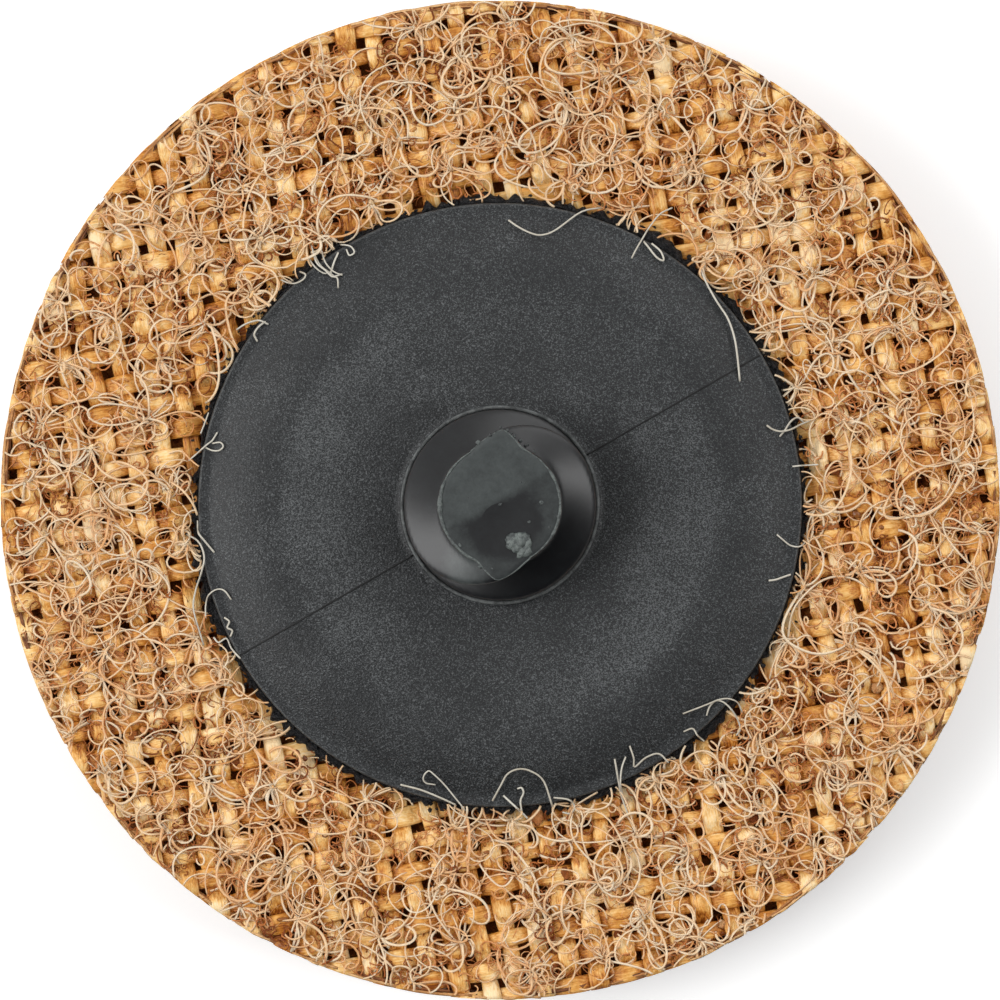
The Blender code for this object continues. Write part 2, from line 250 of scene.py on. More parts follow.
def smooth_curve(corners, points):
    """A Catmull-Rom curve through the corners, as evenly numbered points."""
    at = np.linspace(0, len(corners) - 1, points)
    ends = np.concatenate([
        [2 * corners[0] - corners[1]], corners, [2 * corners[-1] - corners[-2]]])
    low = np.minimum(np.floor(at).astype(int), len(corners) - 2)
    t = (at - low)[:, None]
    a, b, c, d = (ends[low + k] for k in range(4))
    return 0.5 * (
        2 * b + (c - a) * t + (2 * a - 5 * b + 4 * c - d) * t ** 2
        + (3 * b - a - 3 * c + d) * t ** 3)


def from_photo(pixels):
    """Points on the disc, in metres from its centre, from pixels of the photograph."""
    places = (np.asarray(pixels, float) - PHOTO_CENTRE) * PHOTO_PIXEL
    return places * [1, -1]


def circle(segments):
    """Evenly spaced angles of one turn."""
    return np.arange(segments) * TURN / segments


def around(radius, angle, height, centre=(0.0, 0.0)):
    """Points at a radius, an angle and a height round an upright axis."""
    x = centre[0] + radius * np.cos(angle)
    y = centre[1] + radius * np.sin(angle)
    return np.stack([x, y, np.broadcast_to(height, x.shape)], -1)


# Meshes

def mesh_object(name, points, faces, smooth=True, tone=None):
    """A mesh object, with an optional value on each point that its material reads."""
    mesh = bpy.data.meshes.new(name)
    mesh.from_pydata(points.tolist(), [], faces)
    if smooth:
        mesh.shade_smooth()
    if tone is not None:
        layer = mesh.attributes.new("tone", "FLOAT", "POINT")
        layer.data.foreach_set("value", np.asarray(tone, np.float32))
    made = bpy.data.objects.new(name, mesh)
    bpy.context.scene.collection.objects.link(made)
    return made


def grid_faces(rows, columns, offset=0):
    """Quads of a grid of points whose columns close on themselves."""
    row = np.arange(rows - 1)[:, None] * columns + offset
    here = np.arange(columns)[None, :]
    after = (here + 1) % columns
    quads = np.stack([row + columns + here, row + columns + after, row + after, row + here], -1)
    return quads.reshape(-1, 4)


def polar_object(name, rows, segments, centre=(0.0, 0.0)):
    """A closed surface from (radius, height) rows, the first on top and the last below.

    Each entry is a number or one value for each angle, and the two ends close to a point.
    """
    angle = circle(segments)
    points = np.concatenate([around(radius, angle, height, centre) for radius, height in rows])
    faces = grid_faces(len(rows), segments).tolist()
    ends = [(0, rows[0], 1), ((len(rows) - 1) * segments, rows[-1], -1)]
    for start, row, turn in ends:
        tip = len(points)
        points = np.vstack([points, [*centre, float(np.mean(row[1]))]])
        ring = [start + k for k in range(segments)][::turn]
        faces += [(tip, one, ring[(k + 1) % segments]) for k, one in enumerate(ring)]
    return mesh_object(name, points, faces)


def unit(vectors):
    """Vectors of length 1 along the last axis."""
    return vectors / (np.linalg.norm(vectors, axis=-1, keepdims=True) + 1e-12)


def tubes(name, paths, radius, tone, sides=3):
    """Closed round tubes along paths of equal point count, joined in one mesh."""
    count, length, _ = paths.shape
    radius = np.broadcast_to(radius, (count, length))
    along = unit(np.gradient(paths, axis=1))
    across = unit(np.cross(along[:, 0], [0.31, 0.22, 0.93]))
    turn = circle(sides)
    rings = []
    for k in range(length):
        across = unit(across - (across * along[:, k]).sum(1, keepdims=True) * along[:, k])
        other = np.cross(along[:, k], across)
        spoke = (
            np.cos(turn)[None, :, None] * across[:, None]
            + np.sin(turn)[None, :, None] * other[:, None])
        rings.append(paths[:, k, None] + radius[:, k, None, None] * spoke)
    points = np.stack(rings, 1).reshape(-1, 3)
    starts = np.arange(count) * length * sides
    walls = grid_faces(length, sides)[None] + starts[:, None, None]
    faces = walls.reshape(-1, 4)[:, ::-1].tolist()
    for start in starts.tolist():
        last = start + (length - 1) * sides
        faces.append(tuple(range(start, start + sides))[::-1])
        faces.append(tuple(range(last, last + sides)))
    tones = np.repeat(np.broadcast_to(tone, (count,)), length * sides)
    return mesh_object(name, points, faces, tone=tones)


def lumps(name, places, sizes, turns, rough, rng, tone):
    """Closed knobbly lumps, one at each place, with their half-sizes and turns about Z."""
    bm = bmesh.new()
    bmesh.ops.create_icosphere(bm, subdivisions=2, radius=1.0)
    corners = np.array([v.co for v in bm.verts])
    ball = np.array([[v.index for v in f.verts] for f in bm.faces])
    bm.free()
    count = len(places)
    knobs = 1 + rough * rng.normal(0, 1, (count, len(corners), 1)).clip(-1.5, 1.5)
    local = corners[None] * knobs * sizes[:, None]
    cos, sin = np.cos(turns)[:, None], np.sin(turns)[:, None]
    points = np.stack([
        local[..., 0] * cos - local[..., 1] * sin + places[:, :1],
        local[..., 0] * sin + local[..., 1] * cos + places[:, 1:2],
        local[..., 2] + places[:, 2:]], -1)
    faces = (ball[None] + (np.arange(count) * len(corners))[:, None, None]).reshape(-1, 3)
    return mesh_object(
        name, points.reshape(-1, 3), faces.tolist(), tone=np.repeat(tone, len(corners)))


# Materials

class Layers:
    """Short names for the nodes of one material."""

    def __init__(self, name):
        self.material = bpy.data.materials.new(name)
        self.material.use_nodes = True
        self.tree = self.material.node_tree
        self.shader = self.tree.nodes["Principled BSDF"]
        self.place = self.tree.nodes.new("ShaderNodeTexCoord").outputs["Object"]

    def feed(self, socket, value):
        """Links an input to another node's output, or sets its value."""
        if isinstance(value, bpy.types.NodeSocket):
            self.tree.links.new(value, socket)
        else:
            socket.default_value = value

    def node(self, kind, inputs=None, **settings):
        """Adds a node with its settings, and feeds its inputs."""
        made = self.tree.nodes.new("ShaderNode" + kind)
        for key, value in settings.items():
            setattr(made, key, value)
        for key, value in (inputs or {}).items():
            self.feed(made.inputs[key], value)
        return made

    def noise(self, size, detail, roughness, place=None):
        """Noise whose features are about this many metres across."""
        return self.node("TexNoise", {
            "Vector": place or self.place, "Scale": 1.0 / size, "Detail": detail,
            "Roughness": roughness}).outputs["Fac"]

    def ramp(self, value, stops):
        """A colour ramp from (position, linear colour) stops."""
        made = self.node("ValToRGB", {"Fac": value})
        bar = made.color_ramp.elements
        while len(bar) < len(stops):
            bar.new(0.5)
        for element, (position, colour) in zip(bar, stops):
            element.position = position
            element.color = (*colour, 1.0)
        return made.outputs["Color"]

    def mix(self, share, one, other):
        """Mixes two colours."""
        made = self.node("Mix", {0: share, 6: one, 7: other}, data_type="RGBA")
        return made.outputs[2]

    def math(self, operation, *values):
        """A maths node on sockets or numbers."""
        return self.node("Math", dict(enumerate(values)), operation=operation).outputs[0]

    def vector(self, operation, one, other, output="Value"):
        """A vector maths node on two vectors."""
        made = self.node("VectorMath", {0: one, 1: other}, operation=operation)
        return made.outputs[output]

    def spread(self, value, gain):
        """A noise value's distance from its middle, times a gain."""
        return self.math("MULTIPLY_ADD", value, gain, -gain / 2)

    def step(self, value, start, end, low=0.0, high=1.0):
        """An S-curve from one value to another while the input runs from start to end."""
        made = self.node("MapRange", {
            "Value": value, "From Min": start, "From Max": end, "To Min": low,
            "To Max": high}, interpolation_type="SMOOTHSTEP")
        return made.outputs["Result"]

    def tone(self):
        """The value stored on each point."""
        return self.node("Attribute", attribute_name="tone").outputs["Fac"]

    def finish(self, colour, roughness, height=None, depth=0.0, specular=0.5):
        """Sets the shader's colour, roughness and bump, and gives the material."""
        self.feed(self.shader.inputs["Base Color"], colour)
        self.feed(self.shader.inputs["Roughness"], roughness)
        self.shader.inputs["Specular IOR Level"].default_value = specular
        if height is not None:
            bump = self.node("Bump", {"Height": height, "Strength": 1.0, "Distance": depth})
            self.feed(self.shader.inputs["Normal"], bump.outputs["Normal"])
        return self.material


def lengthwise_place(layers, angle):
    """Object coordinates turned to a yarn's angle and drawn out along it."""
    turned = layers.node("Mapping", {
        "Vector": layers.place, "Rotation": (0.0, 0.0, -angle)}, vector_type="POINT")
    return layers.node("Mapping", {
        "Vector": turned.outputs["Vector"], "Scale": (0.07, 1.0, 1.0)}).outputs["Vector"]


def yarn_material(name, angle, stops):
    """Resin-coated filament yarn with fine lines along it; its tone paints shade where it dips
    under and a cream highlight where it floats on top.
    """
    layers = Layers(name)
    filaments = layers.noise(0.085 * MM, 2.0, 0.5, lengthwise_place(layers, angle))
    patches = layers.noise(1.3 * MM, 4.0, 0.65)
    stains = layers.noise(3.6 * MM, 2.0, 0.5)
    spots = layers.math("ADD", layers.spread(patches, 1.6), layers.spread(stains, 1.1))
    shade = layers.math(
        "ADD", layers.math("MULTIPLY_ADD", layers.tone(), 0.56, 0.10),
        layers.math("ADD", layers.spread(filaments, 0.8), spots))
    colour = layers.ramp(shade, stops)
    rough = layers.math("MULTIPLY_ADD", patches, 0.4, 0.18)
    return layers.finish(colour, rough, filaments, 0.060 * MM, specular=0.3)


def fibre_material(name, stops, roughness, grit=0.0, wall=1.0, specular=0.5):
    """Fibre coloured by each strand's tone, which on the web's fibres is painted shade of their
    depth, with a little change along it.

    Light passes a strand's two walls, each as solid as the wall value says.
    """
    layers = Layers(name)
    layers.shader.inputs["Alpha"].default_value = wall
    speckle = layers.noise(0.45 * MM, 2.0, 0.6)
    shade = layers.math("ADD", layers.tone(), layers.spread(speckle, 0.9))
    colour = layers.ramp(shade, stops)
    grain = layers.noise(0.05 * MM, 2.0, 0.7)
    return layers.finish(colour, roughness, grain, (0.01 + grit) * MM, specular)


def web_material():
    """The pad's own surface behind its fibres: dark resin with grain and hollows, painted
    darker still in the hollows as their shade.
    """
    layers = Layers("web_ground")
    hollows = layers.noise(0.55 * MM, 5.0, 0.7)
    grains = layers.noise(0.12 * MM, 3.0, 0.8)
    # painted shade: the colour darkens where the hollows sink
    colour = layers.ramp(hollows, [
        (0.34, (0.075, 0.017, 0.002)), (0.50, (0.20, 0.055, 0.008)),
        (0.64, (0.34, 0.120, 0.028)), (0.80, (0.48, 0.22, 0.07))])
    height = layers.math("MULTIPLY_ADD", grains, 0.3, hollows)
    return layers.finish(colour, 0.8, height, 0.25 * MM, specular=0.2)


def flange_grain(layers, from_axis):
    """Spark-eroded specks and faint blotches, with a painted sheen of reflected light that is
    paler on two sides of a ring.
    """
    cells = layers.node("TexVoronoi", {"Vector": layers.place, "Scale": 1 / GRAIN_SIZE})
    speck = layers.node("SeparateColor", {"Color": cells.outputs["Color"]}).outputs["Red"]
    grain = layers.noise(0.10 * MM, 1.0, 0.5)
    blotches = layers.noise(4.0 * MM, 3.0, 0.6)
    start, full, fading, end = SHEEN_RING
    ring = layers.math(
        "MULTIPLY", layers.step(from_axis, start, full), layers.step(from_axis, end, fading))
    aside = layers.math("ABSOLUTE", layers.vector("DOT_PRODUCT", layers.place, SHEEN_WAY))
    both_sides = layers.math("MULTIPLY", aside, 1 / full)
    # painted sheen: the ring is paler on two sides and the rest darker, standing in for light
    # that the flange reflects
    painted_sheen = layers.math("MULTIPLY_ADD", layers.math("MULTIPLY", ring, both_sides), 0.21, -0.16)
    clouds = layers.math("ADD", layers.spread(grain, 1.0), painted_sheen)
    return layers.math(
        "ADD", layers.math("MULTIPLY_ADD", speck, 0.94, 0.05),
        layers.math("ADD", clouds, layers.spread(blotches, 0.6)))


def painted_edge_highlights(layers, level, from_axis):
    """Painted highlights: the collar's lip drawn pale, partly as its flash, and more faintly
    the brim's corner.
    """
    lip = layers.math("GREATER_THAN", level, PLATEAU_TOP + 0.07 * MM)
    rim = layers.step(from_axis, FLANGE_RADIUS - 0.13 * MM, FLANGE_RADIUS - 0.09 * MM)
    return layers.math("MAXIMUM", lip, layers.math("MULTIPLY", rim, 0.3))


def stud_colour(layers, level, scuffs):
    """Near-black plastic, pale on half of the tip, round its sunk middle and on one flank."""
    past_parting = layers.vector("DOT_PRODUCT", layers.place, PAST_PARTING)
    paler_half = layers.step(past_parting, -0.7 * MM, 0.3 * MM, -0.10, 0.34)
    from_sink = layers.vector("DISTANCE", layers.place, (*SINK_CENTRE, STUD_TOP))
    round_sink = layers.step(from_sink, 0.55 * SINK_RADIUS, 1.2 * SINK_RADIUS, -0.10, 0.22)
    on_tip = layers.math("GREATER_THAN", level, STUD_TOP - 0.02 * MM)
    tip = layers.math("MULTIPLY", layers.math("MAXIMUM", paler_half, round_sink), on_tip)
    flank_place = (*from_photo(PALE_FLANK_PIXEL), STUD_TOP - 0.5 * MM)
    from_flank = layers.vector("DISTANCE", layers.place, flank_place)
    flank = layers.step(from_flank, 1.6 * MM, 0.6 * MM, 0.0, 0.32)
    pale_amount = layers.math(
        "ADD", layers.math("MULTIPLY_ADD", scuffs, 0.5, 0.25),
        layers.math("MAXIMUM", tip, flank))
    return layers.ramp(pale_amount, [
        (0.42, (0.002, 0.002, 0.003)), (0.57, (0.006, 0.007, 0.008)),
        (0.72, (0.024, 0.028, 0.028)), (0.95, (0.056, 0.065, 0.064))])


def button_material():
    """Charcoal moulded plastic: spark-eroded grain on the flange, a smooth stud."""
    layers = Layers("moulded_grain")
    level = layers.node("SeparateXYZ", {"Vector": layers.place}).outputs["Z"]
    in_plan = layers.vector("MULTIPLY", layers.place, (1.0, 1.0, 0.0), "Vector")
    from_axis = layers.vector("DISTANCE", in_plan, (*BUTTON_AXIS, 0.0))
    scuffs = layers.noise(0.6 * MM, 5.0, 0.75)
    grain = flange_grain(layers, from_axis)
    speckled = layers.ramp(grain, [
        (0.0, (0.003, 0.004, 0.005)), (0.35, (0.010, 0.011, 0.012)),
        (0.60, (0.029, 0.032, 0.034)), (0.95, (0.110, 0.117, 0.120))])
    # painted highlight on the collar's lip and along the brim's corner
    edge_highlight = layers.ramp(scuffs, [
        (0.40, (0.045, 0.048, 0.048)), (0.62, (0.150, 0.160, 0.158))])
    flange = layers.mix(painted_edge_highlights(layers, level, from_axis), speckled, edge_highlight)
    on_stud = layers.math("GREATER_THAN", level, STUD_BASE + 0.005 * MM)
    colour = layers.mix(on_stud, flange, stud_colour(layers, level, scuffs))
    rough = layers.math("MULTIPLY_ADD", on_stud, -0.14, 0.50)
    height = layers.math("MULTIPLY", grain, layers.math("MULTIPLY_ADD", on_stud, -0.985, 1.0))
    return layers.finish(colour, rough, height, 0.034 * MM)


def parting_shadow_material():
    """A painted shadow: the dark hairline beside the step where the mould's halves met."""
    layers = Layers("parting_shadow")
    cloud = layers.noise(0.5 * MM, 2.0, 0.6)
    colour = layers.ramp(cloud, [(0.3, (0.002, 0.002, 0.002)), (0.7, (0.010, 0.011, 0.011))])
    return layers.finish(colour, 0.7, cloud, 0.01 * MM)


def scuff_material():
    """Plastic gone pale where it was torn or rubbed."""
    layers = Layers("torn_plastic")
    cloud = layers.noise(0.20 * MM, 4.0, 0.7)
    shade = layers.math("ADD", layers.tone(), layers.spread(cloud, 1.6))
    colour = layers.ramp(shade, [
        (0.1, (0.012, 0.014, 0.014)), (0.5, (0.045, 0.053, 0.052)),
        (0.9, (0.13, 0.15, 0.14))])
    return layers.finish(colour, 0.42, cloud, 0.06 * MM)


def melt_material():
    """Plastic that melted, boiled and froze: black and pitted, with painted grey glints on its
    raised grain.
    """
    layers = Layers("melted_crust")
    pits = layers.noise(0.14 * MM, 4.0, 0.8)
    # painted glints: the raised grain is drawn grey
    colour = layers.ramp(pits, [
        (0.40, (0.002, 0.002, 0.003)), (0.56, (0.010, 0.010, 0.012)),
        (0.70, (0.10, 0.10, 0.105))])
    rough = layers.math("MULTIPLY_ADD", pits, 0.5, 0.10)
    return layers.finish(colour, rough, pits, 0.20 * MM)


def resin_material():
    """Drops of cured amber resin."""
    layers = Layers("cured_resin")
    cloud = layers.noise(0.25 * MM, 3.0, 0.6)
    shade = layers.math("MULTIPLY_ADD", cloud, 0.5, layers.math("ADD", layers.tone(), -0.25))
    colour = layers.ramp(shade, [
        (0.1, (0.16, 0.045, 0.008)), (0.45, (0.50, 0.19, 0.04)),
        (0.75, (0.78, 0.42, 0.14)), (0.95, (0.88, 0.66, 0.38))])
    return layers.finish(colour, 0.30, cloud, 0.04 * MM)


def dress(made, material, slot, *nodes):
    """Gives a piece its material, attaches it to the root body and hides the solids it stands
    for. The slot is not used.
    """
    made.data.materials.append(material)
    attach(made, "root")
    if nodes:
        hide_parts(*nodes)
    return made


# The woven cloth

def yarn_section():
    """Half-width and half-thickness shares round a flat yarn, ridged on top."""
    turn = circle(SECTION_POINTS)
    wide = np.sign(np.cos(turn)) * np.abs(np.cos(turn)) ** 0.85
    high = np.sign(np.sin(turn)) * np.abs(np.sin(turn)) ** 0.75
    ridge = np.where(np.arange(SECTION_POINTS) % 2 == 0, 1.0, 0.80)
    return wide, np.where(high > 0.1, high * ridge, high)


def yarn_stations(offset):
    """Distances along a yarn: close together where it shows, far apart under the button."""
    near_side = max(0.0, abs(offset) - YARN_WIDTH / 2)
    half = math.sqrt(DISC_RADIUS ** 2 - near_side ** 2)
    inside = BEAD_REACH ** 2 - offset ** 2
    if inside <= 0:
        return np.linspace(-half, half, max(4, round(2 * half / YARN_STEP)))
    hidden = math.sqrt(inside)
    shown = np.linspace(hidden, half, max(3, round((half - hidden) / YARN_STEP)))
    middle = np.linspace(-hidden, hidden, max(3, round(hidden / YARN_PITCH)) + 1)
    return np.concatenate([-shown[::-1], middle[1:-1], shown])


def yarn_rings(index, warp, rng):
    """Rings of points along one yarn, cut to the disc, and how high it rides at each."""
    wide, high = yarn_section()
    offset = (index + 0.5) * YARN_PITCH
    along = yarn_stations(offset)
    phase = rng.uniform(0, TURN, 4)
    wander = YARN_WANDER * (
        np.sin(along / (2.9 * MM) + phase[0]) + 0.7 * np.sin(along / (1.3 * MM) + phase[1]))
    sign = (-1) ** index * (1 if warp else -1)
    lift = sign * np.cos(math.pi * (along / YARN_PITCH - 0.5))
    swell = 0.97 + 0.09 * np.sin(along / (1.7 * MM) + phase[2]) + 0.05 * lift
    height = CLOTH_MIDDLE + WAVE * lift
    tilt = np.arctan(np.gradient(height, along))[:, None]
    x = along[:, None] - np.sin(tilt) * high * YARN_THICKNESS / 2
    y = (offset + wander)[:, None] + (YARN_WIDTH / 2 * swell)[:, None] * wide
    z = height[:, None] + np.cos(tilt) * high * YARN_THICKNESS / 2
    cut = np.minimum(1.0, DISC_RADIUS / np.hypot(x, y))
    plan = [y * cut, x * cut] if warp else [x * cut, y * cut]
    return np.stack([*plan, z], -1).reshape(-1, 3), lift


def laid_cloth(points):
    """The weave's points turned to its angle, and pressed down round the button."""
    turn = np.array([
        [math.cos(WEAVE_ANGLE), math.sin(WEAVE_ANGLE)],
        [-math.sin(WEAVE_ANGLE), math.cos(WEAVE_ANGLE)]])
    points[:, :2] = points[:, :2] @ turn
    from_button = np.hypot(points[:, 0], points[:, 1] - BUTTON_Y)
    pressed = smooth_step((from_button - BEAD_REACH) / (0.7 * MM))
    share = PRESSED_SHARE + (1 - PRESSED_SHARE) * pressed
    points[:, 2] = CLOTH_BOTTOM + (points[:, 2] - CLOTH_BOTTOM) * share
    return points


def woven_yarns(name, warp, rng):
    """All the yarns of one direction, each waving over and under the others."""
    reach = math.ceil(DISC_RADIUS / YARN_PITCH)
    points, faces, tones, start = [], [], [], 0
    for index in range(-reach, reach):
        if abs(index + 0.5) * YARN_PITCH > DISC_RADIUS - 0.3 * YARN_WIDTH:
            continue
        rings, lift = yarn_rings(index, warp, rng)
        points.append(rings)
        quads = grid_faces(len(lift), SECTION_POINTS, start)
        first = list(range(start, start + SECTION_POINTS))
        last = [k + len(rings) - SECTION_POINTS for k in first]
        if warp:
            faces += quads.tolist() + [first, last[::-1]]
        else:
            faces += quads[:, ::-1].tolist() + [first[::-1], last]
        # painted shade and highlight: the yarn's lift sets its tone, dark where it dips under,
        # pale where it floats on top
        tones.append(np.repeat(0.5 + 0.5 * lift, SECTION_POINTS) * 0.7 + 0.3 * rng.random())
        start += len(rings)
    points = laid_cloth(np.concatenate(points))
    return mesh_object(name, points, faces, tone=np.concatenate(tones))


# Fibres

def headings(rng, count):
    """Random directions in plan."""
    return rng.uniform(0, TURN, count)


def either_way(rng, low, high, count):
    """Angles between two sizes, turning left or right."""
    return rng.uniform(low, high, count) * np.where(rng.random(count) < 0.5, -1, 1)


def scattered(rng, count, spacing, inner, outer):
    """Points in a ring round the button, no two nearer than the spacing."""
    kept = np.zeros((0, 2))
    for _ in range(count * TRIES_PER_PLACE):
        radius = math.sqrt(rng.uniform(inner ** 2, outer ** 2))
        angle = rng.uniform(0, TURN)
        place = np.array([radius * math.cos(angle), radius * math.sin(angle)])
        if len(kept) == 0 or np.hypot(*(kept - place).T).min() > spacing:
            kept = np.vstack([kept, place])
        if len(kept) == count:
            break
    return kept


def curling(rng, starts, heading, radius, turn, dense=64, straight=0.0):
    """Plan paths that curl away from their starts, now tightly and now loosely.

    They turn through an angle at about a radius, each in a loop squashed by its tilt.
    """
    count = len(starts)
    share = np.linspace(0, 1, dense)[None, :]
    phase = rng.uniform(0, TURN, (count, 2))
    pace = (
        1 + 0.50 * np.sin(share * rng.uniform(3, 7, (count, 1)) + phase[:, :1])
        + 0.30 * np.sin(share * rng.uniform(9, 17, (count, 1)) + phase[:, 1:]))
    if straight:
        pace = pace * smooth_step(share / straight)
    step = radius * np.abs(turn) / (dense - 1)
    bend = np.sign(turn)[:, None] * pace * (step / radius)[:, None]
    facing = np.cumsum(bend, axis=1)
    x = np.cumsum(np.cos(facing) * step[:, None], axis=1)
    y = np.cumsum(np.sin(facing) * step[:, None], axis=1)
    squash = rng.uniform(0.5, 1.0, (count, 1))
    tilt = rng.uniform(0, math.pi, (count, 1))
    inward = (1 - squash) * (x * np.cos(tilt) + y * np.sin(tilt))
    x = x - inward * np.cos(tilt)
    y = y - inward * np.sin(tilt)
    spin = heading[:, None]
    plan = np.stack([
        starts[:, :1] + x * np.cos(spin) - y * np.sin(spin),
        starts[:, 1:] + x * np.sin(spin) + y * np.cos(spin)], -1)
    return plan, np.broadcast_to(share, x.shape)


def trimmed(plan, height, points, inner, outer):
    """Cuts each path where it first leaves the ring, and spaces its points evenly."""
    paths = np.concatenate([plan, height[..., None]], -1)
    from_centre = np.hypot(paths[..., 0], paths[..., 1])
    from_button = np.hypot(paths[..., 0], paths[..., 1] - BUTTON_Y)
    inside = (from_centre < outer) & (from_button > inner)
    last = np.where(inside.all(1), paths.shape[1] - 1, np.argmin(inside, axis=1) - 1)
    kept = last > SHORTEST_RUN
    paths, last = paths[kept], last[kept]
    at = np.linspace(0, 1, points)[None, :] * last[:, None]
    low = np.minimum(np.floor(at).astype(int), paths.shape[1] - 2)
    part = (at - low)[..., None]
    row = np.arange(len(paths))[:, None]
    return paths[row, low] * (1 - part) + paths[row, low + 1] * part, kept


def strands(name, plan, height, points, ring, thick, tone):
    """Tubes along plan paths at their heights, cut to a ring round the button."""
    paths, kept = trimmed(plan, height, points, *ring)
    return tubes(name, paths, thick[kept][:, None], tone[kept])


def bunches(rng, places, each, spread):
    """Starts of strands, so many near each place."""
    starts = np.repeat(places, each, axis=0)
    return starts + rng.normal(0, spread, starts.shape)


def ripple(rng, share, size, slowest=5):
    """A small wave along each strand, at its own pace."""
    return size * np.sin(share * rng.uniform(slowest, 14, (len(share), 1)))


def needled_strands(rng, knots):
    """Pale crimped fibres that spray from the needled knots and loop over the cloth."""
    starts = bunches(rng, knots, STRANDS_PER_KNOT, 0.15 * MM)
    count = len(starts)
    radius = np.clip(rng.gamma(4.0, 0.25, count), 0.40, 2.4) * MM
    plan, share = curling(
        rng, starts, headings(rng, count), radius, either_way(rng, 1.4, 6.0, count),
        straight=0.35)
    lift = rng.gamma(2.5, 0.14, (count, 1)).clip(0.08, 1.0) * MM
    height = CLOTH_TOP - 0.14 * MM + lift * np.sin(math.pi * share) ** 0.6
    height += ripple(rng, share, 0.09 * MM)
    return strands(
        "needled_strands", plan, height, 20, PALE_RING,
        FIBRE_RADIUS * rng.uniform(0.7, 1.25, count), rng.beta(2.6, 1.3, count))


def knot_sprays(rng, knots):
    """Short straight ends that fan out of each needled knot."""
    starts = bunches(rng, knots, SPRAY_PER_KNOT, 0.06 * MM)
    count = len(starts)
    plan, share = curling(
        rng, starts, headings(rng, count), rng.uniform(1.4, 4.0, count) * MM,
        either_way(rng, 0.25, 0.5, count), dense=16)
    height = CLOTH_TOP + 0.10 * MM - share * rng.uniform(0.05, 0.30, (count, 1)) * MM
    return strands(
        "knot_sprays", plan, height, 5, PALE_RING,
        FIBRE_RADIUS * rng.uniform(0.7, 1.1, count), rng.beta(3.0, 1.0, count))


def loose_curls(rng):
    """Single pale curls and arcs that lie between the knots."""
    starts = scattered(rng, LOOSE_CURLS, CURL_SPACING, *PALE_STARTS)
    count = len(starts)
    radius = np.clip(rng.gamma(4.0, 0.19, count), 0.28, 1.7) * MM
    plan, share = curling(
        rng, starts, headings(rng, count), radius, either_way(rng, 1.8, 7.5, count))
    lift = rng.uniform(0.02, 0.45, (count, 1)) * MM
    height = CLOTH_TOP - 0.10 * MM + lift * np.sin(math.pi * share)
    height += ripple(rng, share, 0.07 * MM)
    return strands(
        "loose_curls", plan, height, 18, PALE_RING,
        FIBRE_RADIUS * rng.uniform(0.6, 1.1, count), rng.beta(2.0, 1.5, count))


def rust_curls(rng):
    """Red-brown curls of the web's own fibre, matted in patches in and over the weave."""
    patches = scattered(rng, RUST_PATCHES, PATCH_SPACING, *RUST_STARTS)
    starts = bunches(rng, patches, CURLS_PER_PATCH, 0.40 * MM)
    count = len(starts)
    radius = np.clip(rng.gamma(4.0, 0.085, count), 0.14, 0.9) * MM
    plan, share = curling(
        rng, starts, headings(rng, count), radius, either_way(rng, 2.0, 7.0, count))
    base = CLOTH_TOP - rng.uniform(0.0, 0.38, (count, 1)) * MM
    height = base + rng.uniform(0.05, 0.30, (count, 1)) * MM * np.sin(math.pi * share)
    height += ripple(rng, share, 0.05 * MM)
    thick = CURL_RADIUS * rng.uniform(0.6, 1.35, count)
    of_patch = np.repeat(rng.beta(1.6, 1.8, len(patches)), CURLS_PER_PATCH)
    tone = np.clip(of_patch + rng.normal(0, 0.18, count), 0, 1)
    return strands("rust_curls", plan, height, 10, RUST_RING, thick, tone)


def fine_fuzz(rng):
    """The finest broken fibres, in tufts."""
    tufts = scattered(rng, FUZZ_TUFTS, TUFT_SPACING, *RUST_STARTS)
    starts = bunches(rng, tufts, FUZZ_PER_TUFT, 0.42 * MM)
    count = len(starts)
    plan, share = curling(
        rng, starts, headings(rng, count), rng.uniform(0.3, 1.2, count) * MM,
        either_way(rng, 0.6, 2.4, count), dense=16)
    base = CLOTH_TOP - rng.uniform(0.05, 0.42, (count, 1)) * MM
    height = base + np.sin(math.pi * share) * rng.uniform(0.05, 0.30, (count, 1)) * MM
    return strands(
        "fine_fuzz", plan, height, 6, RUST_RING,
        FUZZ_RADIUS * rng.uniform(0.7, 1.5, count), rng.beta(1.6, 1.8, count))


def half_sizes(rng, count, *ranges):
    """Three half-sizes for each lump, from their ranges in millimetres."""
    return np.stack([rng.uniform(low, high, count) for low, high in ranges], -1) * MM


def rust_mats(rng):
    """Felted pads of brown fibre and resin that fill meshes and bridge yarns."""
    spots = scattered(rng, RUST_MATS, MAT_SPACING, *LUMP_STARTS)
    count = len(spots)
    level = CLOTH_TOP - rng.uniform(0.10, 0.42, count) * MM
    sizes = half_sizes(rng, count, (0.18, 0.45), (0.14, 0.30), (0.06, 0.13))
    return lumps(
        "rust_mats", np.column_stack([spots, level]), sizes, rng.uniform(0, math.pi, count),
        0.16, rng, rng.beta(1.6, 1.8, count))


def resin_drops(rng, knots):
    """Small drops of resin: pale ones at the knots, amber ones where they fell."""
    spots = scattered(rng, FALLEN_DROPS, DROP_SPACING, *LUMP_STARTS)
    plan = np.concatenate([knots, spots])
    count = len(plan)
    pale = np.arange(count) < len(knots)
    level = CLOTH_TOP - 0.04 * MM + rng.uniform(-0.08, 0.10, count) * MM
    sizes = half_sizes(rng, count, (0.10, 0.26), (0.08, 0.18), (0.05, 0.11))
    tone = np.where(pale, rng.uniform(0.7, 1.0, count), rng.uniform(0.1, 0.6, count))
    return lumps(
        "resin_drops", np.column_stack([plan, level]), sizes, rng.uniform(0, math.pi, count),
        0.2, rng, tone)


